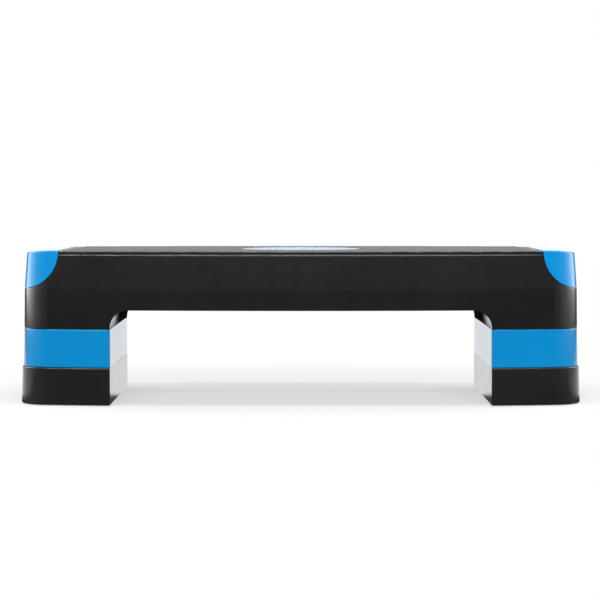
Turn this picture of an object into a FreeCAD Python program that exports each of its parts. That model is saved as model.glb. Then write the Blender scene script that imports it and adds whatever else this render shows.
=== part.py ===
import FreeCAD, Part
import math
import os
import Sketcher

# Aerobic step platform: a bridge-shaped moulded deck on two stacked risers at each end.
# Frame: origin on the floor under the middle, X along the length, front towards -Y, Z up.

Vector = FreeCAD.Vector
doc = FreeCAD.newDocument("aerobic_step")
sheet = doc.addObject("Spreadsheet::Sheet", "Sizes")

# Driving dimensions in millimetres
SIZES = [
    # Deck outline, measured at the foot of the legs
    ("deck_length", 772.0),
    ("deck_depth", 297.0),
    ("side_bow", 2700.0),
    ("corner_round", 42.0),
    # Deck side walls: nearly upright to the crease, leaning more from there to the shoulder
    ("crease_rise", 55.0),
    ("crease_inset", 1.2),
    ("shoulder_rise", 103.0),
    ("shoulder_inset", 4.5),
    ("shoulder_round", 2.0),
    ("rim_round", 0.8),
    ("skirt_wall", 3.5),
    # Raised platform under the tread
    ("ledge", 4.5),
    ("platform_rise", 3.8),
    ("platform_round", 1.0),
    ("plate_drop", 1.5),
    ("land_depth", 6.0),
    ("nose_round", 334.0),
    # Arch between the legs
    ("leg_length", 124.0),
    ("arch_rise", 26.2),
    ("arch_round", 24.5),
    ("leg_setback", 9.5),
    ("leg_wall", 3.0),
    # Stiffening ribs
    ("rib_wall", 2.5),
    ("span_rib_lift", 70.0),
    ("leg_rib_lift", 60.0),
    ("riser_rib_lift", 34.0),
    ("rib_share", 0.444),
    ("span_bays", 8),
    # Risers
    ("upper_rise", 53.0),
    ("lower_rise", 51.5),
    ("deck_overhang", 0.4),
    ("riser_draft", 1.5),
    ("riser_ledge", 1.5),
    ("riser_wall", 3.0),
    ("riser_plate", 3.5),
    ("riser_edge", 1.5),
    ("inner_round", 4.0),
    ("hollow_round", 2.0),
    # Locating plateau on top of each riser, with a socket for each foot of the piece above
    ("plateau_rise", 8.0),
    ("plateau_wall", 3.0),
    ("plateau_gap", 0.6),
    ("plateau_round", 5.0),
    ("plateau_lead", 1.2),
    ("socket_gap", 0.6),
    ("socket_wall", 3.0),
    ("socket_floor", 3.0),
    ("socket_spare", 0.3),
    # Rubber feet and the posts that carry them, set in from the ends of a leg and from the bowed side
    ("foot_outer_end", 32.0),
    ("foot_outer_side", 37.0),
    ("foot_inner_end", 31.0),
    ("foot_inner_side", 33.0),
    ("foot_radius", 10.0),
    ("foot_thick", 2.5),
    ("foot_proud", 1.0),
    ("foot_edge", 0.8),
    ("stem_radius", 4.0),
    ("stem_rise", 10.0),
    ("stem_lead", 1.0),
    ("stem_gap", 0.1),
    ("stem_spare", 2.0),
    ("post_radius", 11.0),
    # Corner caps
    ("cap_reach", 51.0),
    ("cap_depth", 72.0),
    ("cap_lift", 4.0),
    ("cap_thick", 2.5),
    ("cap_gap", 0.3),
    ("cap_seam", 0.7),
    ("cap_round", 3.0),
    ("cap_inner_round", 1.5),
    ("pan_wall", 1.8),
    # Bosses under the caps, set in from the shoulder's end and front, and the screws that hold them
    ("boss_front_end", 33.5),
    ("boss_front_side", 13.0),
    ("boss_end_end", 15.5),
    ("boss_end_side", 57.0),
    ("boss_radius", 4.5),
    ("boss_drop", 10.0),
    ("boss_sink", 2.25),
    ("boss_gap", 0.3),
    ("cup_wall", 3.0),
    ("cup_floor", 3.0),
    ("shank_radius", 2.0),
    ("shank_gap", 0.1),
    ("screw_hole_gap", 0.3),
    ("screw_grip", 8.0),
    ("screw_spare", 1.0),
    ("head_radius", 4.0),
    ("head_rise", 2.6),
    ("head_edge", 1.0),
    # Tread mat and centre badge
    ("mat_setback", 56.0),
    ("mat_margin", 2.4),
    ("mat_thick", 2.7),
    ("mat_sink", 1.3),
    ("mat_gap", 0.4),
    ("mat_round", 16.0),
    ("mat_edge", 0.6),
    ("badge_radius", 84.0),
    ("badge_gap", 0.4),
    ("badge_rim", 2.0),
    ("badge_dome", 0.6),
]
for row, (alias, number) in enumerate(SIZES, 1):
    sheet.set(f"A{row}", alias)
    sheet.set(f"B{row}", str(number))
    sheet.setAlias(f"B{row}", alias)
doc.recompute()


class Dim:
    """A length kept both as a formula over the sheet and as its present value."""

    def __init__(self, formula, value):
        self.formula = formula
        self.value = value

    def __add__(self, other):
        return Dim(f"({self.formula} + {text_of(other)})", self.value + value_of(other))

    def __sub__(self, other):
        return Dim(f"({self.formula} - {text_of(other)})", self.value - value_of(other))

    def __mul__(self, other):
        return Dim(f"({self.formula} * {text_of(other)})", self.value * value_of(other))

    def __truediv__(self, other):
        return Dim(f"({self.formula} / {text_of(other)})", self.value / value_of(other))

    def __neg__(self):
        return self * -1


def text_of(item):
    return item.formula if isinstance(item, Dim) else f"({item})"


def value_of(item):
    return item.value if isinstance(item, Dim) else item


def size(alias):
    return Dim(f"Sizes.{alias}", float(sheet.get(alias)))


NIL = Dim("0", 0.0)


def bind(item, name, dim):
    item.setExpression(name, dim.formula)


def bind_base(item, x, y, z):
    bind(item, "Placement.Base.x", x)
    bind(item, "Placement.Base.y", y)
    bind(item, "Placement.Base.z", z)


# Derived levels and outlines

half_length = size("deck_length") / 2
half_depth = size("deck_depth") / 2
half_span = half_length - size("leg_length")
rib_spread = half_depth * size("rib_share")
lower_floor = size("foot_proud")
upper_floor = lower_floor + size("lower_rise")
deck_floor = upper_floor + size("upper_rise")
platform_top = size("shoulder_rise") + size("platform_rise")
mat_floor = platform_top - size("mat_sink")
tread_top = mat_floor + size("mat_thick")
plate_under = size("shoulder_rise") - size("plate_drop")
wall_lean = (size("shoulder_inset") - size("crease_inset")) / (size("shoulder_rise") - size("crease_rise"))


def bowed_side(x):
    """Give the depth of the bowed side at a distance from the middle of the deck."""
    return half_depth - x * x / (size("side_bow") * 2)


# Bodies and sketches


def new_body(name):
    return doc.addObject("PartDesign::Body", name)


def new_sketch(body, name, role, offset):
    sketch = body.newObject("Sketcher::SketchObject", name)
    plane = next(item for item in body.Origin.OriginFeatures if item.Role == role)
    sketch.AttachmentSupport = [(plane, "")]
    sketch.MapMode = "FlatFace"
    bind(sketch, "AttachmentOffset.Base.z", offset)
    return sketch


def set_size(sketch, kind, refs, dim):
    index = sketch.addConstraint(Sketcher.Constraint(kind, *refs, dim.value))
    bind(sketch, f"Constraints[{index}]", dim)


def set_position(sketch, kind, element, point, dim):
    if dim.value < 0:
        set_size(sketch, kind, (element, point, -1, 1), -dim)
    else:
        set_size(sketch, kind, (-1, 1, element, point), dim)


def add_line(sketch, start, end):
    return sketch.addGeometry(Part.LineSegment(Vector(*start, 0), Vector(*end, 0)), False)


def add_arc(sketch, centre, radius, first, last):
    circle = Part.Circle(Vector(*centre, 0), Vector(0, 0, 1), radius)
    return sketch.addGeometry(Part.ArcOfCircle(circle, first, last), False)


def barrel_outline(sketch, west, east, depth, bow, west_round, east_round):
    """Draw a closed outline with two upright ends, bowed long sides and rounded corners."""
    centre_y = depth.value - bow.value
    west_x = west.value + west_round.value
    east_x = east.value - east_round.value
    west_y = centre_y + math.sqrt((bow.value - west_round.value) ** 2 - west_x ** 2)
    east_y = centre_y + math.sqrt((bow.value - east_round.value) ** 2 - east_x ** 2)
    west_turn = math.atan2(west_y - centre_y, west_x)
    east_turn = math.atan2(east_y - centre_y, east_x)
    loop = [
        add_arc(sketch, (0, -centre_y), bow.value, -west_turn, -east_turn),
        add_arc(sketch, (east_x, -east_y), east_round.value, -east_turn, 0),
        add_line(sketch, (east.value, -east_y), (east.value, east_y)),
        add_arc(sketch, (east_x, east_y), east_round.value, 0, east_turn),
        add_arc(sketch, (0, centre_y), bow.value, east_turn, west_turn),
        add_arc(sketch, (west_x, west_y), west_round.value, west_turn, math.pi),
        add_line(sketch, (west.value, west_y), (west.value, -west_y)),
        add_arc(sketch, (west_x, -west_y), west_round.value, math.pi, 2 * math.pi - west_turn),
    ]
    south, south_east, east_side, north_east, north, north_west, west_side, south_west = loop
    for element, following in zip(loop, loop[1:] + loop[:1]):
        sketch.addConstraint(Sketcher.Constraint("Tangent", element, 2, following, 1))
    for element in (east_side, west_side):
        sketch.addConstraint(Sketcher.Constraint("Vertical", element))
    for element in (south, north):
        sketch.addConstraint(Sketcher.Constraint("PointOnObject", element, 3, -2))
        set_size(sketch, "Radius", (element,), bow)
    for element in (south_east, north_east):
        set_size(sketch, "Radius", (element,), east_round)
    for element in (south_west, north_west):
        set_size(sketch, "Radius", (element,), west_round)
    set_position(sketch, "DistanceY", south, 3, bow - depth)
    set_position(sketch, "DistanceY", north, 3, depth - bow)
    set_position(sketch, "DistanceX", west_side, 1, west)
    set_position(sketch, "DistanceX", east_side, 1, east)


def deck_outline(body, name, level, growth):
    """Draw the deck outline, grown outwards by the given amount, at one level."""
    sketch = new_sketch(body, name, "XY_Plane", level)
    end = half_length + growth
    rounding = size("corner_round") + growth
    barrel_outline(sketch, -end, end, half_depth + growth, size("side_bow") + growth, rounding, rounding)
    return sketch


def leg_outline(sketch, side, growth, inner_x, inner_round):
    """Draw the outline of one end of the deck, from its outer end to an upright inner face."""
    outer_x = half_length + growth
    outer_round = size("corner_round") + growth
    depth = half_depth + growth
    bow = size("side_bow") + growth
    if side < 0:
        barrel_outline(sketch, -outer_x, -inner_x, depth, bow, outer_round, inner_round)
    else:
        barrel_outline(sketch, inner_x, outer_x, depth, bow, inner_round, outer_round)


def add_loft(body, name, sections):
    loft = body.newObject("PartDesign::AdditiveLoft", name)
    loft.Profile = sections[0]
    loft.Sections = sections[1:]
    loft.Ruled = True
    doc.recompute()
    return loft


def add_pad(body, name, sketch, rise):
    pad = body.newObject("PartDesign::Pad", name)
    pad.Profile = sketch
    bind(pad, "Length", rise)
    doc.recompute()
    return pad


TOUCH = 1e-4


def is_level(item, level):
    """Tell whether an edge or a face lies in one level plane."""
    box = item.BoundBox
    return max(abs(box.ZMin - level.value), abs(box.ZMax - level.value)) < TOUCH


def level_edges(feature, level):
    """Name the edges of a feature that lie in one level plane."""
    return [f"Edge{number}" for number, edge in enumerate(feature.Shape.Edges, 1) if is_level(edge, level)]


def leaning_block(body, name, growth, low, high, inset):
    """Build the deck form between two levels, its walls leaning inwards by the inset."""
    block = add_pad(body, f"{name}_block", deck_outline(body, f"{name}_line", low, growth), high - low)
    walls = []
    for number, face in enumerate(block.Shape.Faces, 1):
        if is_level(face, low):
            base = f"Face{number}"
        elif not is_level(face, high):
            walls.append(f"Face{number}")
    lean = body.newObject("PartDesign::Draft", f"{name}_lean")
    lean.Base = (block, walls)
    lean.NeutralPlane = (block, [base])
    slope = inset / (high - low)
    bind(lean, "Angle", Dim(f"atan({slope.formula})", math.degrees(math.atan(slope.value))))
    doc.recompute()
    return lean


def round_level(body, name, feature, level, radius):
    """Round every edge that lies in one level plane."""
    fillet = body.newObject("PartDesign::Fillet", name)
    fillet.Base = (feature, level_edges(feature, level))
    bind(fillet, "Radius", radius)
    doc.recompute()
    return fillet


def revolve_profile(body, sketch, name):
    """Turn a closed half profile about the upright axis of its sketch."""
    turned = body.newObject("PartDesign::Revolution", name)
    turned.Profile = sketch
    turned.ReferenceAxis = (sketch, ["V_Axis"])
    turned.Angle = 360
    doc.recompute()
    return turned


# Primitives and booleans


def add_box(name, west, east, south, north, low, high):
    block = doc.addObject("Part::Box", name)
    bind(block, "Length", east - west)
    bind(block, "Width", north - south)
    bind(block, "Height", high - low)
    bind_base(block, west, south, low)
    return block


def add_cylinder(name, x, y, low, high, radius):
    round_bar = doc.addObject("Part::Cylinder", name)
    bind(round_bar, "Radius", radius)
    bind(round_bar, "Height", high - low)
    bind_base(round_bar, x, y, low)
    return round_bar


def join(name, items):
    joined = doc.addObject("Part::MultiFuse", name)
    joined.Shapes = items
    joined.Refine = True
    return joined


def overlap(name, items):
    common = doc.addObject("Part::MultiCommon", name)
    common.Shapes = items
    return common


def take_away(name, base, tool):
    rest = doc.addObject("Part::Cut", name)
    rest.Base = base
    rest.Tool = tool
    rest.Refine = True
    return rest


nodes = []


def hand_in(item, label, x, y, z):
    """Name a finished piece and set it in its place."""
    item.Label = label
    bind_base(item, x, y, z)
    nodes.append(item)


SIDES = {"left": -1, "right": 1}
FACES = {"front": -1, "rear": 1}


def foot_places(side):
    """List the four foot positions at one end as name and coordinates."""
    rows = [("outer", half_length - size("foot_outer_end")), ("inner", half_span + size("foot_inner_end"))]
    places = []
    for face, face_sign in FACES.items():
        for row, x in rows:
            y = bowed_side(x) - size(f"foot_{row}_side")
            places.append((f"{face}_{row}", x * side, y * face_sign))
    return places


# Deck shell: one hollow moulding with skirt walls, top plate, ribs and two legs

lower_wall = new_body("deck_lower_wall")
lower_lean = leaning_block(lower_wall, "deck_lower", NIL, NIL, size("crease_rise"), size("crease_inset"))
round_level(lower_wall, "deck_rim", lower_lean, NIL, size("rim_round"))
upper_wall = new_body("deck_upper_wall")
upper_lean = leaning_block(upper_wall, "deck_upper", -size("crease_inset"), size("crease_rise"),
                           size("shoulder_rise"), size("shoulder_inset") - size("crease_inset"))
round_level(upper_wall, "deck_shoulder", upper_lean, size("shoulder_rise"), size("shoulder_round"))
platform_body = new_body("deck_platform")
platform_inset = size("shoulder_inset") + size("ledge")
platform_line = deck_outline(platform_body, "platform_line", plate_under, -platform_inset)
platform = add_pad(platform_body, "platform", platform_line, platform_top - plate_under)
round_level(platform_body, "platform_edge", platform, platform_top, size("platform_round"))

# End lands: above the shoulder both ends rise to the tread and then droop in a wide nose curve

cap_end = half_length - size("shoulder_inset")
cap_centre = half_length - size("crease_inset")
nose_start = cap_centre - size("cap_reach")


def nose_profile(body, name, inset, high):
    """Draw the space above the tread level and its drooping ends, as seen from the front."""
    sketch = new_sketch(body, name, "XZ_Plane", NIL)
    centre_z = tread_top - size("nose_round")
    bend = size("nose_round") - inset
    flat = nose_start.value
    far = half_length.value
    top = tread_top.value - inset.value
    turn = math.asin((far - flat) / bend.value)
    low = centre_z.value + bend.value * math.cos(turn)
    loop = [
        add_line(sketch, (flat, top), (-flat, top)),
        add_arc(sketch, (-flat, centre_z.value), bend.value, math.pi / 2, math.pi / 2 + turn),
        add_line(sketch, (-far, low), (-far, high.value)),
        add_line(sketch, (-far, high.value), (far, high.value)),
        add_line(sketch, (far, high.value), (far, low)),
        add_arc(sketch, (flat, centre_z.value), bend.value, math.pi / 2 - turn, math.pi / 2),
    ]
    tread, west_nose, west, sky, east, east_nose = loop
    sketch.addConstraint(Sketcher.Constraint("Tangent", tread, 2, west_nose, 1))
    sketch.addConstraint(Sketcher.Constraint("Tangent", east_nose, 2, tread, 1))
    for element, following in ((west, sky), (sky, east)):
        sketch.addConstraint(Sketcher.Constraint("Coincident", element, 2, following, 1))
    sketch.addConstraint(Sketcher.Constraint("Coincident", west_nose, 2, west, 1))
    sketch.addConstraint(Sketcher.Constraint("Coincident", east, 2, east_nose, 1))
    sketch.addConstraint(Sketcher.Constraint("Horizontal", sky))
    sketch.addConstraint(Sketcher.Constraint("Vertical", west))
    sketch.addConstraint(Sketcher.Constraint("Vertical", east))
    set_size(sketch, "Radius", (west_nose,), bend)
    set_size(sketch, "Radius", (east_nose,), bend)
    set_position(sketch, "DistanceX", west_nose, 3, -nose_start)
    set_position(sketch, "DistanceX", east_nose, 3, nose_start)
    set_position(sketch, "DistanceY", west_nose, 3, centre_z)
    set_position(sketch, "DistanceY", east_nose, 3, centre_z)
    set_position(sketch, "DistanceX", west, 1, -half_length)
    set_position(sketch, "DistanceX", east, 1, half_length)
    set_position(sketch, "DistanceY", sky, 1, high)
    return sketch


def corner_block(name, inset, rounding, low):
    """Build the upper form of the deck, taken inwards, with drooping ends and a rounded top edge."""
    body = new_body(name)
    high = tread_top + size("land_depth")
    spread = wall_lean * (size("crease_rise") - low) - size("crease_inset") - inset
    leaning_block(body, name, spread, low, high, wall_lean * (high - low))
    droop = body.newObject("PartDesign::Pocket", f"{name}_droop")
    droop.Profile = nose_profile(body, f"{name}_nose_line", inset, high + size("land_depth"))
    droop.Midplane = True
    bind(droop, "Length", size("deck_depth") * 2)
    doc.recompute()
    top_edges = []
    for number, edge in enumerate(droop.Shape.Edges, 1):
        seam = abs(abs(edge.CenterOfMass.x) - nose_start.value) < TOUCH
        if edge.BoundBox.ZMin > size("shoulder_rise").value - size("land_depth").value and not seam:
            top_edges.append(f"Edge{number}")
    fillet = body.newObject("PartDesign::Fillet", f"{name}_edge")
    fillet.Base = (droop, top_edges)
    bind(fillet, "Radius", rounding)
    doc.recompute()
    return body


cap_skin = corner_block("cap_skin", NIL, size("cap_round"), size("crease_rise"))
lands = []
for name, side in SIDES.items():
    inner, outer = sorted((nose_start * side, half_length * side), key=value_of)
    land_block = add_box(f"land_block_{name}", inner, outer, -half_depth, half_depth,
                         size("shoulder_rise") - size("land_depth"), tread_top + size("land_depth"))
    lands.append(overlap(f"end_land_{name}", [cap_skin, land_block]))
platform_trim = overlap("platform_trim", [platform_body, cap_skin])
outer_form = join("deck_outer", [lower_wall, upper_wall, platform_trim] + lands)

hollow_body = new_body("deck_hollow")
add_loft(hollow_body, "deck_hollow_walls", [
    deck_outline(hollow_body, "hollow_foot_line", NIL, -size("skirt_wall")),
    deck_outline(hollow_body, "hollow_crease_line", size("crease_rise"),
                 -size("crease_inset") - size("skirt_wall")),
    deck_outline(hollow_body, "hollow_plate_line", plate_under, -size("shoulder_inset") - size("skirt_wall")),
])


def arch_profile(body):
    """Draw the arch between the legs as seen from the front."""
    sketch = new_sketch(body, "arch_line", "XZ_Plane", NIL)
    reach = half_span.value
    crown = size("arch_rise").value
    bend = size("arch_round").value
    drop = -bend
    loop = [
        add_line(sketch, (-reach, drop), (reach, drop)),
        add_line(sketch, (reach, drop), (reach, crown - bend)),
        add_arc(sketch, (reach - bend, crown - bend), bend, 0, math.pi / 2),
        add_line(sketch, (reach - bend, crown), (bend - reach, crown)),
        add_arc(sketch, (bend - reach, crown - bend), bend, math.pi / 2, math.pi),
        add_line(sketch, (-reach, crown - bend), (-reach, drop)),
    ]
    floor, east, east_bend, top, west_bend, west = loop
    for element, following in ((floor, east), (west, floor)):
        sketch.addConstraint(Sketcher.Constraint("Coincident", element, 2, following, 1))
    for element, following in ((east, east_bend), (east_bend, top), (top, west_bend), (west_bend, west)):
        sketch.addConstraint(Sketcher.Constraint("Tangent", element, 2, following, 1))
    sketch.addConstraint(Sketcher.Constraint("Horizontal", floor))
    sketch.addConstraint(Sketcher.Constraint("Vertical", east))
    sketch.addConstraint(Sketcher.Constraint("Vertical", west))
    set_size(sketch, "Radius", (east_bend,), size("arch_round"))
    set_size(sketch, "Radius", (west_bend,), size("arch_round"))
    set_position(sketch, "DistanceX", east, 1, half_span)
    set_position(sketch, "DistanceX", west, 1, -half_span)
    set_position(sketch, "DistanceY", top, 1, size("arch_rise"))
    set_position(sketch, "DistanceY", floor, 1, -size("arch_round"))
    return sketch


arch_body = new_body("arch_opening")
arch = arch_body.newObject("PartDesign::Pad", "arch_through")
arch.Profile = arch_profile(arch_body)
arch.Midplane = True
bind(arch, "Length", size("deck_depth") * 2)
doc.recompute()

# Ribs run across the span and along it, and each leg has an inner cross wall

bay = half_span * 2 / size("span_bays")
rib_half = size("rib_wall") / 2
rib_top = size("shoulder_rise")
rib_rows = [("front", -rib_spread), ("middle", NIL), ("rear", rib_spread)]
inside = []
for number in range(1, int(size("span_bays").value)):
    x = bay * number - half_span
    inside.append(add_box(f"span_rib_{number}", x - rib_half, x + rib_half, -half_depth, half_depth,
                          size("span_rib_lift"), rib_top))
wall_near = half_span + size("leg_setback")
wall_far = wall_near + size("leg_wall")
leg_middle = (wall_far + half_length - size("skirt_wall")) / 2
for row, y in rib_rows:
    inside.append(add_box(f"long_rib_{row}", -wall_near, wall_near, y - rib_half, y + rib_half,
                          size("span_rib_lift"), rib_top))
for name, side in SIDES.items():
    inner, outer = sorted((wall_near * side, wall_far * side), key=value_of)
    inside.append(add_box(f"leg_wall_{name}", inner, outer, -half_depth, half_depth, NIL, rib_top))
    x = leg_middle * side
    inside.append(add_box(f"leg_rib_{name}", x - rib_half, x + rib_half, -half_depth, half_depth,
                          size("leg_rib_lift"), rib_top))
    inner, outer = sorted((wall_near * side, half_length * side), key=value_of)
    for row, y in rib_rows:
        inside.append(add_box(f"leg_rib_{name}_{row}", inner, outer, y - rib_half, y + rib_half,
                              size("leg_rib_lift"), rib_top))

# Posts in the legs carry the rubber feet, whose stems plug into their bores

foot_seat = size("foot_thick") - size("foot_proud")
bore_top = foot_seat + size("stem_rise") + size("stem_spare")
bore_radius = size("stem_radius") + size("stem_gap")
openings = []
for name, side in SIDES.items():
    for place, x, y in foot_places(side):
        inside.append(add_cylinder(f"deck_post_{name}_{place}", x, y, foot_seat, rib_top,
                                   size("post_radius")))
        openings.append(add_cylinder(f"deck_bore_{name}_{place}", x, y, NIL, bore_top, bore_radius))

# Corner caps: shells that wrap the rounded, leaning corners and sit in matching pans of the deck.
# Seen from the front a cap ends on a circle about a point above the end, seen from the end on a larger one.

cap_level = size("shoulder_rise") + size("cap_lift")
cap_face = bowed_side(cap_end) - size("shoulder_inset")


def corner_region(name, side, face, growth):
    """Overlap two lying cylinders that bound a cap towards the middle of the deck."""
    along_y = doc.addObject("Part::Cylinder", f"{name}_front_bound")
    along_y.Placement = FreeCAD.Placement(Vector(), FreeCAD.Rotation(Vector(1, 0, 0), -90 * face))
    bind(along_y, "Radius", size("cap_reach") + growth)
    bind(along_y, "Height", half_depth * 2)
    bind_base(along_y, cap_centre * side, NIL, cap_level)
    along_x = doc.addObject("Part::Cylinder", f"{name}_end_bound")
    along_x.Placement = FreeCAD.Placement(Vector(), FreeCAD.Rotation(Vector(0, 1, 0), 90 * side))
    bind(along_x, "Radius", size("cap_depth") + growth)
    bind(along_x, "Height", half_length * 2)
    bind_base(along_x, NIL, cap_face * face, cap_level)
    return overlap(f"{name}_region", [along_y, along_x])


recess_inset = size("cap_thick") + size("cap_gap")
pan_inset = recess_inset + size("pan_wall")
cap_core = corner_block("cap_core", size("cap_thick"), size("cap_inner_round"), NIL)
recess_core = corner_block("recess_core", recess_inset, size("cap_inner_round") - size("cap_gap"), NIL)
pan_core = corner_block("pan_core", pan_inset, size("platform_round"), NIL)

recess_floor = tread_top - recess_inset
boss_foot = recess_floor - size("boss_drop")
cup_well = boss_foot - size("boss_gap")
cup_foot = cup_well - size("cup_floor")
cup_bore = size("boss_radius") + size("boss_gap")
pilot_top = cup_foot + size("cup_floor") + size("screw_grip") + size("screw_spare")
boss_places = []
added = []
caps = []
for face, face_sign in FACES.items():
    for name, side in SIDES.items():
        corner = f"{face}_{name}"
        region = corner_region(f"cap_{corner}", side, face_sign, NIL)
        shell = take_away(f"cap_shell_{corner}", overlap(f"cap_blank_{corner}", [cap_skin, region]), cap_core)
        recess = corner_region(f"recess_{corner}", side, face_sign, size("cap_seam"))
        openings.append(take_away(f"recess_tool_{corner}", recess, recess_core))
        pan = corner_region(f"pan_{corner}", side, face_sign, size("cap_seam") + size("pan_wall"))
        pan_blank = overlap(f"pan_blank_{corner}", [outer_form, pan])
        added.append(take_away(f"pan_walls_{corner}", pan_blank, pan_core))
        bosses = [shell]
        pilots = []
        for row in ("front", "end"):
            x = (cap_end - size(f"boss_{row}_end")) * side
            y = (cap_face - size(f"boss_{row}_side")) * face_sign
            tag = f"{corner}_{row}"
            boss_places.append((tag, x, y))
            bosses.append(add_cylinder(f"boss_{tag}", x, y, boss_foot, tread_top - size("boss_sink"),
                                       size("boss_radius")))
            pilots.append(add_cylinder(f"pilot_{tag}", x, y, boss_foot, pilot_top,
                                       size("shank_radius") + size("shank_gap")))
            inside.append(add_cylinder(f"cup_{tag}", x, y, cup_foot, rib_top, cup_bore + size("cup_wall")))
            openings.append(add_cylinder(f"cup_bore_{tag}", x, y, cup_well, tread_top, cup_bore))
            openings.append(add_cylinder(f"screw_hole_{tag}", x, y, cup_foot, cup_well,
                                         size("shank_radius") + size("screw_hole_gap")))
        caps.append((corner, take_away(f"cap_made_{corner}", join(f"cap_joined_{corner}", bosses),
                                       join(f"pilots_{corner}", pilots))))

# The mat lies in a shallow pocket of the platform

platform_mat_inset = platform_inset + size("mat_margin")


def mat_outline(sketch, growth):
    """Draw the outline of the mat, grown outwards by the given amount."""
    end = half_length - size("mat_setback") + growth
    inset = platform_mat_inset - growth
    rounding = size("mat_round") + growth
    barrel_outline(sketch, -end, end, half_depth - inset, size("side_bow") - inset, rounding, rounding)


pocket_body = new_body("mat_pocket")
pocket_sketch = new_sketch(pocket_body, "pocket_line", "XY_Plane", mat_floor)
mat_outline(pocket_sketch, size("mat_gap"))
add_pad(pocket_body, "pocket", pocket_sketch, size("mat_sink") * 2)
openings.append(pocket_body)

deck_walls = take_away("deck_cavity", outer_form, hollow_body)
deck_inside = overlap("deck_inside", [join("deck_stiffening", inside), outer_form])
deck_joined = join("deck_joined", [deck_walls, deck_inside] + added)
deck_open = join("deck_openings", openings + [arch_body])
deck_shell = take_away("deck_made", deck_joined, deck_open)
hand_in(deck_shell, "deck_shell", NIL, NIL, deck_floor)
for corner, cap in caps:
    hand_in(cap, f"corner_cap_{corner}", NIL, NIL, deck_floor)


# Tread: a sheet with a round window, and a plain domed badge lying in the window

mat_body = new_body("tread_mat_body")
mat_sketch = new_sketch(mat_body, "mat_line", "XY_Plane", NIL)
mat_outline(mat_sketch, NIL)
window = mat_sketch.addGeometry(Part.Circle(Vector(), Vector(0, 0, 1), size("badge_radius").value), False)
mat_sketch.addConstraint(Sketcher.Constraint("Coincident", window, 3, -1, 1))
set_size(mat_sketch, "Radius", (window,), size("badge_radius") + size("badge_gap"))
mat_pad = add_pad(mat_body, "mat_sheet", mat_sketch, size("mat_thick"))
round_level(mat_body, "mat_edge", mat_pad, size("mat_thick"), size("mat_edge"))
hand_in(mat_body, "tread_mat", NIL, NIL, deck_floor + mat_floor)


def profile(body, name, points, sizes):
    """Draw a closed half profile from straight runs between corner points."""
    sketch = new_sketch(body, name, "XZ_Plane", NIL)
    loop = [add_line(sketch, a, b) for a, b in zip(points, points[1:] + points[:1])]
    for element, following in zip(loop, loop[1:] + loop[:1]):
        sketch.addConstraint(Sketcher.Constraint("Coincident", element, 2, following, 1))
    for index, (across, up) in enumerate(sizes):
        if across is None:
            sketch.addConstraint(Sketcher.Constraint("PointOnObject", loop[index], 1, -2))
        else:
            set_position(sketch, "DistanceX", loop[index], 1, across)
        if up is None:
            sketch.addConstraint(Sketcher.Constraint("PointOnObject", loop[index], 1, -1))
        else:
            set_position(sketch, "DistanceY", loop[index], 1, up)
    return sketch


def turned_body(name, corners):
    """Turn a solid from corners given as radius and height, None standing for zero."""
    body = new_body(name)
    points = [(0.0 if r is None else r.value, 0.0 if z is None else z.value) for r, z in corners]
    revolve_profile(body, profile(body, f"{name}_profile", points, corners), f"{name}_turned")
    return body


def badge_body():
    """Turn the badge: a thin disc whose upper face is a shallow dome."""
    body = new_body("badge_body")
    sketch = new_sketch(body, "badge_profile", "XZ_Plane", NIL)
    radius = size("badge_radius").value
    rim_z = size("badge_rim").value
    rise = size("badge_dome").value
    ball = (radius ** 2 + rise ** 2) / (2 * rise)
    floor = add_line(sketch, (0, 0), (radius, 0))
    edge = add_line(sketch, (radius, 0), (radius, rim_z))
    dome = add_arc(sketch, (0, rim_z + rise - ball), ball, math.asin((ball - rise) / ball), math.pi / 2)
    axis = add_line(sketch, (0, rim_z + rise), (0, 0))
    for element, following in ((floor, edge), (edge, dome), (dome, axis), (axis, floor)):
        sketch.addConstraint(Sketcher.Constraint("Coincident", element, 2, following, 1))
    sketch.addConstraint(Sketcher.Constraint("Coincident", floor, 1, -1, 1))
    sketch.addConstraint(Sketcher.Constraint("Horizontal", floor))
    sketch.addConstraint(Sketcher.Constraint("Vertical", edge))
    sketch.addConstraint(Sketcher.Constraint("Vertical", axis))
    sketch.addConstraint(Sketcher.Constraint("PointOnObject", dome, 3, -2))
    set_position(sketch, "DistanceX", floor, 2, size("badge_radius"))
    set_position(sketch, "DistanceY", edge, 2, size("badge_rim"))
    set_position(sketch, "DistanceY", axis, 1, size("badge_rim") + size("badge_dome"))
    revolve_profile(body, sketch, "badge_turned")
    return body


hand_in(badge_body(), "centre_badge", NIL, NIL, deck_floor + mat_floor)


# Screws: pan-head screws driven from below through the cups into the cap bosses

shank_top = size("head_rise") + size("cup_floor") + size("boss_gap") + size("screw_grip")
screws = []
for tag, x, y in boss_places:
    screw = turned_body(f"screw_{tag}", [
        (None, None),
        (size("head_radius") - size("head_edge"), None),
        (size("head_radius"), size("head_edge")),
        (size("head_radius"), size("head_rise")),
        (size("shank_radius"), size("head_rise")),
        (size("shank_radius"), shank_top),
        (None, shank_top),
    ])
    bind_base(screw, x, y, deck_floor + cup_foot - size("head_rise"))
    screws.append(screw)
screw_group = doc.addObject("Part::Compound", "screw_group")
screw_group.Links = screws
hand_in(screw_group, "cap_screws", NIL, NIL, NIL)


# Rubber feet: a disc with a stem that plugs into a post


def make_foot(label, x, y, floor):
    stem_top = size("foot_thick") + size("stem_rise")
    foot = turned_body(f"{label}_body", [
        (None, None),
        (size("foot_radius") - size("foot_edge"), None),
        (size("foot_radius"), size("foot_edge")),
        (size("foot_radius"), size("foot_thick")),
        (size("stem_radius"), size("foot_thick")),
        (size("stem_radius"), stem_top - size("stem_lead")),
        (size("stem_radius") - size("stem_lead"), stem_top),
        (None, stem_top),
    ])
    hand_in(foot, label, x, y, floor - size("foot_proud"))


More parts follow.
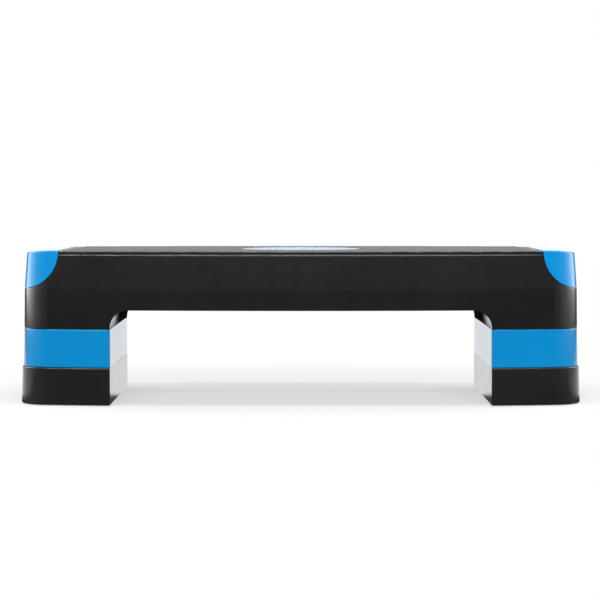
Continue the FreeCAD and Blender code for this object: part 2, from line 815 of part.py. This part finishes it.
# Risers: hollow mouldings with a locating plateau on top that fits the hollow of the piece above


def make_riser(label, side, rise, growth, floor, plateau_growth, plateau_inner):
    """Build one riser; the growths set its top outline and its plateau against the deck outline."""
    inner_x = half_span
    foot_growth = growth + size("riser_draft")
    wall = size("riser_wall")
    under = rise - size("riser_plate")
    crown = rise + size("plateau_rise")

    skin = new_body(f"{label}_skin")
    leaning_block(skin, label, foot_growth, NIL, rise, size("riser_draft"))
    span = skin.newObject("PartDesign::SubtractiveBox", f"{label}_span")
    bind(span, "Length", inner_x + half_length * 2)
    bind(span, "Width", half_depth * 4)
    bind(span, "Height", rise)
    bind_base(span, -inner_x if side < 0 else -half_length * 2, -half_depth * 2, NIL)
    doc.recompute()
    inner_edges = []
    for number, edge in enumerate(span.Shape.Edges, 1):
        box = edge.BoundBox
        offset = max(abs(x * side - inner_x.value) for x in (box.XMin, box.XMax))
        if box.ZLength > rise.value / 2 and offset < TOUCH:
            inner_edges.append(f"Edge{number}")
    corners = skin.newObject("PartDesign::Fillet", f"{label}_inner_corners")
    corners.Base = (span, inner_edges)
    bind(corners, "Radius", size("inner_round"))
    doc.recompute()
    top_edge = round_level(skin, f"{label}_top_edge", corners, rise, size("riser_edge"))
    round_level(skin, f"{label}_rim_edge", top_edge, NIL, size("riser_edge"))

    plateau = new_body(f"{label}_plateau")
    line = new_sketch(plateau, f"{label}_plateau_line", "XY_Plane", under)
    leg_outline(line, side, plateau_growth, plateau_inner, size("plateau_round"))
    plateau_pad = add_pad(plateau, f"{label}_plateau_block", line, crown - under)
    lead = plateau.newObject("PartDesign::Chamfer", f"{label}_plateau_lead")
    lead.Base = (plateau_pad, level_edges(plateau_pad, crown))
    bind(lead, "Size", size("plateau_lead"))
    doc.recompute()
    outer = join(f"{label}_outer", [skin, plateau])

    hollow = new_body(f"{label}_hollow")
    low = new_sketch(hollow, f"{label}_hollow_low", "XY_Plane", NIL)
    leg_outline(low, side, foot_growth - wall, inner_x + wall, size("hollow_round"))
    high = new_sketch(hollow, f"{label}_hollow_high", "XY_Plane", under)
    leg_outline(high, side, growth - wall, inner_x + wall, size("hollow_round"))
    add_loft(hollow, f"{label}_hollow_walls", [low, high])
    raised = new_body(f"{label}_raised_hollow")
    line = new_sketch(raised, f"{label}_raised_line", "XY_Plane", under - wall)
    leg_outline(line, side, plateau_growth - size("plateau_wall"), plateau_inner + size("plateau_wall"),
                size("hollow_round"))
    add_pad(raised, f"{label}_raised_block", line, crown - size("riser_plate") - under + wall)

    rib_crown = crown - size("riser_plate") / 2
    stiff = []
    near, far = sorted((inner_x * side, (half_length + foot_growth) * side), key=value_of)
    for row, y in rib_rows:
        stiff.append(add_box(f"{label}_rib_{row}", near, far, y - rib_half, y + rib_half,
                             size("riser_rib_lift"), rib_crown))
    x = leg_middle * side
    stiff.append(add_box(f"{label}_long_rib", x - rib_half, x + rib_half, -half_depth, half_depth,
                         size("riser_rib_lift"), rib_crown))
    cuts = []
    socket_radius = size("post_radius") + size("socket_gap")
    socket_foot = rise - size("foot_proud") - size("socket_spare")
    for place, x, y in foot_places(side):
        stiff.append(add_cylinder(f"{label}_post_{place}", x, y, foot_seat, socket_foot, size("post_radius")))
        stiff.append(add_cylinder(f"{label}_cup_{place}", x, y, socket_foot - size("socket_floor"), rib_crown,
                                  socket_radius + size("socket_wall")))
        cuts.append(add_cylinder(f"{label}_bore_{place}", x, y, NIL, bore_top, bore_radius))
        cuts.append(add_cylinder(f"{label}_socket_{place}", x, y, socket_foot, crown, socket_radius))
    shell = take_away(f"{label}_cavity", outer, join(f"{label}_hollows", [hollow, raised]))
    inner = overlap(f"{label}_inside", [join(f"{label}_stiffening", stiff), outer])
    made = take_away(f"{label}_made", join(f"{label}_joined", [shell, inner]), join(f"{label}_cuts", cuts))
    hand_in(made, label, NIL, NIL, floor)


upper_growth = -size("deck_overhang")
lower_growth = upper_growth + size("riser_draft") + size("riser_ledge")
deck_fit = -size("skirt_wall") - size("plateau_gap")
riser_fit = upper_growth + size("riser_draft") - size("riser_wall") - size("plateau_gap")
deck_fit_inner = wall_far + size("plateau_gap")
riser_fit_inner = half_span + size("riser_wall") + size("plateau_gap")
for name, side in SIDES.items():
    make_riser(f"upper_riser_{name}", side, size("upper_rise"), upper_growth, upper_floor,
               deck_fit, deck_fit_inner)
    make_riser(f"lower_riser_{name}", side, size("lower_rise"), lower_growth, lower_floor,
               riser_fit, riser_fit_inner)
    for place, x, y in foot_places(side):
        make_foot(f"deck_foot_{name}_{place}", x, y, deck_floor)
        make_foot(f"upper_foot_{name}_{place}", x, y, upper_floor)
        make_foot(f"lower_foot_{name}_{place}", x, y, lower_floor)

doc.recompute()

for item in doc.Objects:
    if {"Invalid", "Error"} & set(item.State):
        raise RuntimeError(f"{item.Label} did not build: {item.State}")
os.makedirs("parts", exist_ok=True)
for node in nodes:
    if node.Shape.isNull() or not node.Shape.isValid():
        raise RuntimeError(f"{node.Label} has no valid shape")
    node.Shape.exportStep(f"parts/{node.Label}.step")
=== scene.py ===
import math

import bpy
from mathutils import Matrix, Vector


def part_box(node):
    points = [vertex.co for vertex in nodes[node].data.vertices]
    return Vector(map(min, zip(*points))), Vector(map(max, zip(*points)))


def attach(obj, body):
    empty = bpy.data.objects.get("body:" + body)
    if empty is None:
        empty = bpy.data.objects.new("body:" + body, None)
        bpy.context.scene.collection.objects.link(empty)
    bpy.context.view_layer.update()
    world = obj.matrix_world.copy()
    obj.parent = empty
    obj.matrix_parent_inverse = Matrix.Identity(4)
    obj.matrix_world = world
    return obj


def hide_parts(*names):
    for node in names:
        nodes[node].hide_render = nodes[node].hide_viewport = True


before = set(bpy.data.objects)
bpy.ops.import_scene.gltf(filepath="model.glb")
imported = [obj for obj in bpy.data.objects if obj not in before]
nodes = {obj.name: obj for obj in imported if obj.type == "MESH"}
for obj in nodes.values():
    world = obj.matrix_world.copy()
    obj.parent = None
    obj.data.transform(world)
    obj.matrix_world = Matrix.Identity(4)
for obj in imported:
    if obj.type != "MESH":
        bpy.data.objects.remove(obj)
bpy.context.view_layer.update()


# Lower risers: two hollow black blocks that stand on the floor, one under each end.
# Injection-moulded polypropylene with a fine spark-eroded grain, open below, with a plateau on top.

sides = ("left", "right")


def shading_node(tree, kind, **settings):
    """Add one shader node and set its plain inputs and properties by name."""
    made = tree.nodes.new(kind)
    for name, value in settings.items():
        if name in made.inputs:
            made.inputs[name].default_value = value
        else:
            setattr(made, name, value)
    return made


def moulded_plastic(name, shade, bright, gloss, spread, grain, ior, skin_polish):
    """Plastic from a grained mould: cloudy pigment, uneven polish and a pebbly skin."""
    cloud_low, cloud_high = 0.3, 0.7
    paint = bpy.data.materials.new(name)
    paint.use_nodes = True
    tree = paint.node_tree
    shader = tree.nodes["Principled BSDF"]
    shader.inputs["IOR"].default_value = ior
    shader.inputs["Coat Weight"].default_value = skin_polish
    shader.inputs["Coat Roughness"].default_value = 0.12
    shader.inputs["Coat IOR"].default_value = 1.4
    place = shading_node(tree, "ShaderNodeTexCoord")
    cloud = shading_node(tree, "ShaderNodeTexNoise", Scale=9.0, Detail=4.0, Roughness=0.55)
    pigment = shading_node(tree, "ShaderNodeValToRGB")
    pigment.color_ramp.elements[0].position = cloud_low
    pigment.color_ramp.elements[0].color = (*shade, 1.0)
    pigment.color_ramp.elements[1].position = cloud_high
    pigment.color_ramp.elements[1].color = (*bright, 1.0)
    rub = shading_node(tree, "ShaderNodeTexNoise", Scale=55.0, Detail=5.0, Roughness=0.6)
    polish = shading_node(tree, "ShaderNodeMapRange")
    polish.inputs["From Min"].default_value = cloud_low
    polish.inputs["From Max"].default_value = cloud_high
    polish.inputs["To Min"].default_value = gloss
    polish.inputs["To Max"].default_value = gloss + spread
    pebble = shading_node(tree, "ShaderNodeTexNoise", Scale=1500.0, Detail=2.0, Roughness=0.5)
    skin = shading_node(tree, "ShaderNodeBump", Strength=grain, Distance=0.0001)
    for texture in (cloud, rub, pebble):
        tree.links.new(place.outputs["Object"], texture.inputs["Vector"])
    tree.links.new(cloud.outputs["Fac"], pigment.inputs["Fac"])
    tree.links.new(pigment.outputs["Color"], shader.inputs["Base Color"])
    tree.links.new(rub.outputs["Fac"], polish.inputs["Value"])
    tree.links.new(polish.outputs["Result"], shader.inputs["Roughness"])
    tree.links.new(pebble.outputs["Fac"], skin.inputs["Height"])
    tree.links.new(skin.outputs["Normal"], shader.inputs["Normal"])
    return paint


def dress(node, paint):
    """Give a CAD node its finish in every one of its material slots."""
    for entry in nodes[node].material_slots:
        entry.material = paint


lower_riser_skin = moulded_plastic("lower_riser_black", (0.010, 0.010, 0.0105), (0.014, 0.014, 0.0145),
                                   gloss=0.17, spread=0.07, grain=0.015, ior=1.42, skin_polish=0.6)
for side in sides:
    dress(f"lower_riser_{side}", lower_riser_skin)


# Upper risers: two hollow blue blocks between the lower risers and the legs of the deck.
# The same moulding in bright blue, with a smoother, glossier skin.

upper_riser_skin = moulded_plastic("upper_riser_blue", (0.0, 0.255, 0.60), (0.0, 0.285, 0.67),
                                   gloss=0.15, spread=0.06, grain=0.015, ior=1.3, skin_polish=0.75)
for side in sides:
    dress(f"upper_riser_{side}", upper_riser_skin)


# Rubber feet: soft black discs whose stems plug into posts, four under every leg and riser.
# Moulded from solid rubber, dull and a little dusty from the floor.

def dusty_rubber(name, rubber, dust, scale, bite):
    """Dull rubber with pale dust in its pores and a rough skin."""
    dust_start, dust_full = 0.35, 0.75
    dull_least, dull_most = 0.55, 0.85
    paint = bpy.data.materials.new(name)
    paint.use_nodes = True
    tree = paint.node_tree
    shader = tree.nodes["Principled BSDF"]
    place = shading_node(tree, "ShaderNodeTexCoord")
    pores = shading_node(tree, "ShaderNodeTexNoise", Scale=scale, Detail=6.0, Roughness=0.65)
    tint = shading_node(tree, "ShaderNodeValToRGB")
    tint.color_ramp.elements[0].position = dust_start
    tint.color_ramp.elements[0].color = (*rubber, 1.0)
    tint.color_ramp.elements[1].position = dust_full
    tint.color_ramp.elements[1].color = (*dust, 1.0)
    dull = shading_node(tree, "ShaderNodeMapRange")
    dull.inputs["To Min"].default_value = dull_least
    dull.inputs["To Max"].default_value = dull_most
    skin = shading_node(tree, "ShaderNodeBump", Strength=bite, Distance=0.0002)
    tree.links.new(place.outputs["Object"], pores.inputs["Vector"])
    tree.links.new(pores.outputs["Fac"], tint.inputs["Fac"])
    tree.links.new(tint.outputs["Color"], shader.inputs["Base Color"])
    tree.links.new(pores.outputs["Fac"], dull.inputs["Value"])
    tree.links.new(dull.outputs["Result"], shader.inputs["Roughness"])
    tree.links.new(pores.outputs["Fac"], skin.inputs["Height"])
    tree.links.new(skin.outputs["Normal"], shader.inputs["Normal"])
    return paint


foot_rubber = dusty_rubber("foot_rubber_black", (0.012, 0.012, 0.012), (0.05, 0.048, 0.045),
                           scale=420.0, bite=0.3)
for level in ("deck", "upper", "lower"):
    for side in sides:
        for place in ("front_outer", "front_inner", "rear_outer", "rear_inner"):
            dress(f"{level}_foot_{side}_{place}", foot_rubber)


# Deck: one large bridge-shaped moulding, ribbed below, that carries the tread.
# Black polypropylene with a satin grain, resting on the plateaus of the upper risers.

deck_skin = moulded_plastic("deck_black", (0.008, 0.008, 0.0085), (0.012, 0.012, 0.0125),
                            gloss=0.16, spread=0.06, grain=0.015, ior=1.42, skin_polish=0.6)
dress("deck_shell", deck_skin)


# Tread mat: a grey rubber sheet laid in a shallow pocket of the deck, with rows of low grip studs.
# Compression-moulded and glued down, with a plain border and a round window for the badge.

stud_pitch = 0.008
stud_row = stud_pitch * math.sqrt(3) / 2
stud_radius = 0.0028
stud_height = 0.0008
stud_root = 0.0003
stud_edge = 0.0005
stud_corners = 8
facing_up = 0.9
smooth_below = math.radians(30)
weld_gap = 1e-6
plain_border = 0.0065
mat_bow = 2.689
window_radius = 0.0844


def merged_copy(node, name):
    """Copy a CAD node's mesh into a new piece and join its loose triangles."""
    piece = bpy.data.objects.new(name, nodes[node].data.copy())
    bpy.context.scene.collection.objects.link(piece)
    bpy.ops.object.select_all(action="DESELECT")
    bpy.context.view_layer.objects.active = piece
    piece.select_set(True)
    bpy.ops.object.mode_set(mode="EDIT")
    bpy.ops.mesh.select_all(action="SELECT")
    bpy.ops.mesh.remove_doubles(threshold=weld_gap)
    bpy.ops.mesh.select_all(action="DESELECT")
    bpy.ops.object.mode_set(mode="OBJECT")
    return piece


def drop_picks(piece):
    """Let go of every face, edge and vertex of a piece."""
    for members in (piece.data.polygons, piece.data.edges, piece.data.vertices):
        for member in members:
            member.select = False


mat_low, mat_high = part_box("tread_mat")
mat_middle = (mat_low.z + mat_high.z) / 2
mat = merged_copy("tread_mat", "grip_mat")
drop_picks(mat)
for vertex in mat.data.vertices:
    vertex.select = vertex.co.z > mat_middle
bpy.ops.object.mode_set(mode="EDIT")
bpy.ops.transform.translate(value=(0, 0, -stud_height))
bpy.ops.object.mode_set(mode="OBJECT")

reach_x = mat_high.x - plain_border
reach_y = mat_high.y - plain_border
columns = int(reach_x * 2 / stud_pitch)
pairs = int(reach_y / stud_row)
stud_depth = stud_height + stud_root
first_stud = (
    -stud_pitch * (columns - 0.5) / 2,
    -stud_row * (pairs - 0.5),
    mat_high.z - stud_depth / 2,
)
bpy.ops.object.select_all(action="DESELECT")
bpy.ops.mesh.primitive_cylinder_add(
    vertices=stud_corners, radius=stud_radius, depth=stud_depth, location=first_stud
)
studs = bpy.context.object
bpy.ops.object.transform_apply(location=True, rotation=True, scale=True)
bpy.ops.object.mode_set(mode="EDIT")
bpy.ops.mesh.select_all(action="DESELECT")
bpy.ops.object.mode_set(mode="OBJECT")
for face in studs.data.polygons:
    face.select = face.normal.z > facing_up
bpy.ops.object.mode_set(mode="EDIT")
bpy.ops.mesh.select_mode(type="FACE")
bpy.ops.mesh.bevel(offset=stud_edge, segments=1, affect="EDGES")
bpy.ops.object.mode_set(mode="OBJECT")
points_each = len(studs.data.vertices)
for name, count, offset in (
    ("stagger", 2, (stud_pitch / 2, stud_row, 0)),
    ("along", columns, (stud_pitch, 0, 0)),
    ("across", pairs, (0, stud_row * 2, 0)),
):
    rows = studs.modifiers.new(name, "ARRAY")
    rows.count = count
    rows.use_relative_offset = False
    rows.use_constant_offset = True
    rows.constant_offset_displace = offset
    bpy.ops.object.modifier_apply(modifier=name)


def stud_fits(x, y):
    """Tell whether a stud at this place lies inside the border and clear of the window."""
    side = reach_y - (mat_bow - math.sqrt(mat_bow ** 2 - x ** 2))
    clear = math.hypot(x, y) > window_radius + plain_border
    return abs(x) < reach_x - stud_radius and abs(y) < side - stud_radius and clear


drop_picks(studs)
stud_points = studs.data.vertices
for first in range(0, len(stud_points), points_each):
    members = [stud_points[first + step] for step in range(points_each)]
    x = sum(point.co.x for point in members) / points_each
    y = sum(point.co.y for point in members) / points_each
    for point in members:
        point.select = not stud_fits(x, y)
bpy.ops.object.mode_set(mode="EDIT")
bpy.ops.mesh.select_mode(type="VERT")
bpy.ops.mesh.delete(type="VERT")
bpy.ops.object.mode_set(mode="OBJECT")
bpy.ops.object.select_all(action="DESELECT")
studs.select_set(True)
mat.select_set(True)
bpy.context.view_layer.objects.active = mat
bpy.ops.object.join()
bpy.ops.object.shade_smooth_by_angle(angle=smooth_below)

mat_rubber = dusty_rubber("mat_rubber_grey", (0.13, 0.13, 0.134), (0.24, 0.24, 0.245),
                          scale=900.0, bite=0.4)
mat.data.materials.clear()
mat.data.materials.append(mat_rubber)
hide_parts("tread_mat")
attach(mat, "deck")


# Centre badge: a thin domed disc lying in the window of the mat, left bare.
# Moulded in smooth blue plastic and glued to the deck.

badge_skin = moulded_plastic("badge_blue", (0.008, 0.19, 0.38), (0.012, 0.24, 0.47),
                             gloss=0.2, spread=0.06, grain=0.01, ior=1.45, skin_polish=0.1)
dress("centre_badge", badge_skin)


# Corner caps: four blue shells wrapped over the rounded top corners of the deck.
# Glossy polypropylene, each held from inside by two screws.

cap_skin = moulded_plastic("cap_blue", (0.0, 0.285, 0.70), (0.0, 0.32, 0.77),
                           gloss=0.16, spread=0.06, grain=0.015, ior=1.3, skin_polish=0.4)
for face in ("front", "rear"):
    for side in sides:
        dress(f"corner_cap_{face}_{side}", cap_skin)


# Cap screws: eight pan-head screws driven up through the deck into the caps.
# Zinc-plated steel with fine turning marks.

def plated_steel(name, colour):
    """Plated steel with fine turned lines and a slightly uneven shine."""
    dark_share = 0.75
    shine_low, shine_high = 0.2, 0.45
    paint = bpy.data.materials.new(name)
    paint.use_nodes = True
    tree = paint.node_tree
    shader = tree.nodes["Principled BSDF"]
    shader.inputs["Metallic"].default_value = 1.0
    place = shading_node(tree, "ShaderNodeTexCoord")
    patch = shading_node(tree, "ShaderNodeTexNoise", Scale=600.0, Detail=3.0, Roughness=0.5)
    tone = shading_node(tree, "ShaderNodeValToRGB")
    tone.color_ramp.elements[0].color = (*[part * dark_share for part in colour], 1.0)
    tone.color_ramp.elements[1].color = (*colour, 1.0)
    shine = shading_node(tree, "ShaderNodeMapRange")
    shine.inputs["To Min"].default_value = shine_low
    shine.inputs["To Max"].default_value = shine_high
    turned = shading_node(tree, "ShaderNodeTexWave", bands_direction="Z", Scale=700.0, Distortion=0.4)
    skin = shading_node(tree, "ShaderNodeBump", Strength=0.15, Distance=0.0001)
    for texture in (patch, turned):
        tree.links.new(place.outputs["Object"], texture.inputs["Vector"])
    tree.links.new(patch.outputs["Fac"], tone.inputs["Fac"])
    tree.links.new(tone.outputs["Color"], shader.inputs["Base Color"])
    tree.links.new(patch.outputs["Fac"], shine.inputs["Value"])
    tree.links.new(shine.outputs["Result"], shader.inputs["Roughness"])
    tree.links.new(turned.outputs["Color"], skin.inputs["Height"])
    tree.links.new(skin.outputs["Normal"], shader.inputs["Normal"])
    return paint


dress("cap_screws", plated_steel("screw_zinc", (0.62, 0.61, 0.58)))


# Stage: a white board that shades near the object, to hold its shadow, and runs out to white; a share of
# painted white glow mixed into it lightens that shadow.
# In reflections and bounce light the board shows only glow: a painted reflection of white paper behind the
# object and beside its ends, dim in front. The side walls are pale, the room in front dim.
# Soft boxes hang overhead, in front and behind, and one that fades to its edges stands at each end.

floor_drop = 0.0002
floor_size = 6.0
board_white = 0.93
board_squeeze = 2.0
# board_glow is the least share of painted white glow in the board; near the object it lightens the object's
# shadow.
board_glow = 0.52
shade_reach = 0.6
white_reach = 1.3
# In reflections the glow stays dim up to dim_edge and is full from bright_edge back: painted shade under
# the front half of the object, seen in the risers' inner faces.
dim_edge = -0.02
bright_edge = 0.06
room_dim = 0.08
room_high = 0.45
ceiling_start = -0.05
ceiling_full = 0.5
# Where the painted glow of white paper lies on the board, seen only in reflections and bounce light: half
# its width, its fade, where it starts beside the ends and how far it leads forward.
painted_paper_half = 1.0
painted_paper_fade = 0.4
painted_paper_ends = 0.42
painted_paper_lead = 0.5
room_soft = 0.28


def link_all(tree, *pairs):
    """Join sockets of a node tree, from each output to its input."""
    for source, target in pairs:
        tree.links.new(source, target)


def grey_ramp(tree, levels):
    """Make a ramp of greys that eases from each place and level to the next."""
    made = shading_node(tree, "ShaderNodeValToRGB")
    made.color_ramp.interpolation = "EASE"
    stops = made.color_ramp.elements
    stops[0].position = levels[0][0]
    stops[1].position = levels[-1][0]
    for position, _ in levels[1:-1]:
        stops.new(position)
    for stop, (_, grey) in zip(stops, levels):
        stop.color = (grey, grey, grey, 1.0)
    return made


bpy.ops.object.select_all(action="DESELECT")
bpy.ops.mesh.primitive_plane_add(size=floor_size, location=(0, 0, -floor_drop))
floor = bpy.context.object
floor.name = "studio_floor"
bpy.ops.object.transform_apply(location=True, rotation=True, scale=True)
sweep = bpy.data.materials.new("studio_white")
sweep.use_nodes = True
tree = sweep.node_tree
board = tree.nodes["Principled BSDF"]
board.inputs["Base Color"].default_value = (board_white, board_white, board_white, 1.0)
board.inputs["Roughness"].default_value = 0.8
board.inputs["Specular IOR Level"].default_value = 0.1
place = shading_node(tree, "ShaderNodeTexCoord")
squeeze = shading_node(tree, "ShaderNodeVectorMath", operation="MULTIPLY")
squeeze.inputs[1].default_value = (1.0, board_squeeze, 0.0)
distance = shading_node(tree, "ShaderNodeVectorMath", operation="LENGTH")
fade = shading_node(tree, "ShaderNodeMapRange", interpolation_type="SMOOTHSTEP")
fade.inputs["From Min"].default_value = shade_reach
fade.inputs["From Max"].default_value = white_reach
fade.inputs["To Min"].default_value = board_glow
along = shading_node(tree, "ShaderNodeSeparateXYZ")
depth = shading_node(tree, "ShaderNodeMapRange", interpolation_type="SMOOTHSTEP")
depth.inputs["From Min"].default_value = dim_edge
depth.inputs["From Max"].default_value = bright_edge
breadth = shading_node(tree, "ShaderNodeMath", operation="ABSOLUTE")
# Beyond the ends the painted paper glow comes forward, by the paper lead for each metre.
beside = shading_node(tree, "ShaderNodeMapRange")
beside.inputs["From Min"].default_value = painted_paper_ends
beside.inputs["From Max"].default_value = painted_paper_ends + 1.0
beside.inputs["To Max"].default_value = painted_paper_lead
ahead = shading_node(tree, "ShaderNodeMath", operation="ADD")
aside = shading_node(tree, "ShaderNodeMapRange", interpolation_type="SMOOTHSTEP")
aside.inputs["From Min"].default_value = painted_paper_half + painted_paper_fade
aside.inputs["From Max"].default_value = painted_paper_half
painted_paper = shading_node(tree, "ShaderNodeMath", operation="MULTIPLY")
shown = shading_node(tree, "ShaderNodeMapRange")
shown.inputs["To Min"].default_value = room_dim
seen = shading_node(tree, "ShaderNodeLightPath")
# For reflection rays the board shows only its glow, without the object's shadow: a painted reflection of
# the white paper.
shiny = shading_node(tree, "ShaderNodeMath", operation="MAXIMUM")
plain = shading_node(tree, "ShaderNodeMath", operation="MAXIMUM")
level = shading_node(tree, "ShaderNodeMath", operation="MAXIMUM")
glow = shading_node(tree, "ShaderNodeEmission", Color=(1, 1, 1, 1))
blend = shading_node(tree, "ShaderNodeMixShader")
link_all(
    tree,
    (place.outputs["Object"], squeeze.inputs[0]),
    (squeeze.outputs["Vector"], distance.inputs[0]),
    (distance.outputs["Value"], fade.inputs["Value"]),
    (seen.outputs["Is Glossy Ray"], shiny.inputs[0]),
    (seen.outputs["Is Transmission Ray"], shiny.inputs[1]),
    (fade.outputs["Result"], plain.inputs[0]),
    (shiny.outputs["Value"], plain.inputs[1]),
    (plain.outputs["Value"], blend.inputs["Fac"]),
    (place.outputs["Object"], along.inputs["Vector"]),
    (along.outputs["X"], breadth.inputs[0]),
    (breadth.outputs["Value"], beside.inputs["Value"]),
    (along.outputs["Y"], ahead.inputs[0]),
    (beside.outputs["Result"], ahead.inputs[1]),
    (ahead.outputs["Value"], depth.inputs["Value"]),
    (breadth.outputs["Value"], aside.inputs["Value"]),
    (depth.outputs["Result"], painted_paper.inputs[0]),
    (aside.outputs["Result"], painted_paper.inputs[1]),
    (painted_paper.outputs["Value"], shown.inputs["Value"]),
    (shown.outputs["Result"], level.inputs[0]),
    (seen.outputs["Is Camera Ray"], level.inputs[1]),
    (level.outputs["Value"], glow.inputs["Strength"]),
    (board.outputs["BSDF"], blend.inputs[1]),
    (glow.outputs["Emission"], blend.inputs[2]),
    (blend.outputs["Shader"], tree.nodes["Material Output"].inputs["Surface"]),
)
floor.data.materials.append(sweep)

# Each pair is a place between the front and the back of the room, and how pale the wall is there.
room_walls = (
    (0.035, 0.08),
    (0.09, 0.4),
    (0.25, 0.95),
    (0.8, 1.0),
    (0.9, 0.1),
    (0.982, 0.1),
    (0.992, 1.0),
)
world = bpy.data.worlds.new("studio_room")
world.use_nodes = True
bpy.context.scene.world = world
tree = world.node_tree
sky = tree.nodes["Background"]
sky.inputs["Color"].default_value = (1, 1, 1, 1)
place = shading_node(tree, "ShaderNodeTexCoord")
way = shading_node(tree, "ShaderNodeSeparateXYZ")
ceiling = shading_node(tree, "ShaderNodeMapRange")
ceiling.inputs["From Min"].default_value = ceiling_start
ceiling.inputs["From Max"].default_value = ceiling_full
ceiling.inputs["To Min"].default_value = room_dim
ceiling.inputs["To Max"].default_value = room_high
turn = shading_node(tree, "ShaderNodeMapRange")
turn.inputs["From Min"].default_value = -1.0
panorama = grey_ramp(tree, room_walls)
room = shading_node(tree, "ShaderNodeMath", operation="MAXIMUM")
seen = shading_node(tree, "ShaderNodeLightPath")
shiny = shading_node(tree, "ShaderNodeMath", operation="MAXIMUM")
mirrored = shading_node(tree, "ShaderNodeMix")
mirrored.inputs["A"].default_value = room_soft
level = shading_node(tree, "ShaderNodeMath", operation="MAXIMUM")
link_all(
    tree,
    (place.outputs["Generated"], way.inputs["Vector"]),
    (way.outputs["Z"], ceiling.inputs["Value"]),
    (way.outputs["Y"], turn.inputs["Value"]),
    (turn.outputs["Result"], panorama.inputs["Fac"]),
    (ceiling.outputs["Result"], room.inputs[0]),
    (panorama.outputs["Color"], room.inputs[1]),
    (seen.outputs["Is Glossy Ray"], shiny.inputs[0]),
    (seen.outputs["Is Transmission Ray"], shiny.inputs[1]),
    (shiny.outputs["Value"], mirrored.inputs["Factor"]),
    (room.outputs["Value"], mirrored.inputs["B"]),
    (mirrored.outputs["Result"], level.inputs[0]),
    (seen.outputs["Is Camera Ray"], level.inputs[1]),
    (level.outputs["Value"], sky.inputs["Strength"]),
)


def soft_box(name, place, aim, width, height, watts, glow=None):
    """Hang one rectangular soft lamp, turned towards a point, with a glow that may vary across it."""
    lamp = bpy.data.lights.new(name, "AREA")
    lamp.shape = "RECTANGLE"
    lamp.size = width
    lamp.size_y = height
    lamp.energy = watts
    holder = bpy.data.objects.new(name, lamp)
    bpy.context.scene.collection.objects.link(holder)
    holder.location = place
    holder.rotation_euler = (Vector(aim) - Vector(place)).to_track_quat("-Z", "Y").to_euler()
    if glow:
        lamp.use_nodes = True
        tree = lamp.node_tree
        cloth = shading_node(tree, "ShaderNodeNewGeometry")
        across = shading_node(tree, "ShaderNodeSeparateXYZ")
        veil = grey_ramp(tree, glow)
        link_all(
            tree,
            (cloth.outputs["Parametric"], across.inputs["Vector"]),
            (across.outputs["X"], veil.inputs["Fac"]),
            (veil.outputs["Color"], tree.nodes["Emission"].inputs["Strength"]),
        )


soft_box("top_lamp", place=(0, -0.45, 2.0), aim=(0, 0, 0.1), width=1.4, height=0.25, watts=13.0)
soft_box("front_lamp", place=(-0.05, -2.5, 1.45), aim=(0, 0, 0.1), width=2.6, height=0.8, watts=56.0)
soft_box("back_lamp", place=(0, 2.6, 0.7), aim=(0, 0, 0.2), width=3.2, height=1.2, watts=4.5)
# Each pair is a place across the lamp, and how bright it is there.
front_to_back = ((0.1, 0.0), (0.65, 1.0), (0.75, 1.0), (1.0, 0.0))
back_to_front = [(1 - position, grey) for position, grey in reversed(front_to_back)]
for name, end, lift, glow in (
    ("left_lamp", -1.7, 0.74, back_to_front),
    ("right_lamp", 1.7, 0.78, front_to_back),
):
    soft_box(name, place=(end, 0.1, lift), aim=(0, 0.1, lift), width=2.4, height=1.3, watts=35.0, glow=glow)


# Camera: a long lens in line with the middle of the front, a little above the tread.
# It tilts down slightly, so that the tread shows as a thin strip.

lens_mm = 116.46
camera_back = 2.791
camera_height = 0.2872
camera_aside = -0.0011
camera_tilt = 3.04

lens = bpy.data.cameras.new("front_camera")
lens.lens = lens_mm
lens.sensor_width = 36.0
camera = bpy.data.objects.new("front_camera", lens)
bpy.context.scene.collection.objects.link(camera)
camera.location = (camera_aside, -camera_back, camera_height)
camera.rotation_euler = (math.radians(90 - camera_tilt), 0, 0)
bpy.context.scene.camera = camera
bpy.context.scene.view_settings.view_transform = "Standard"
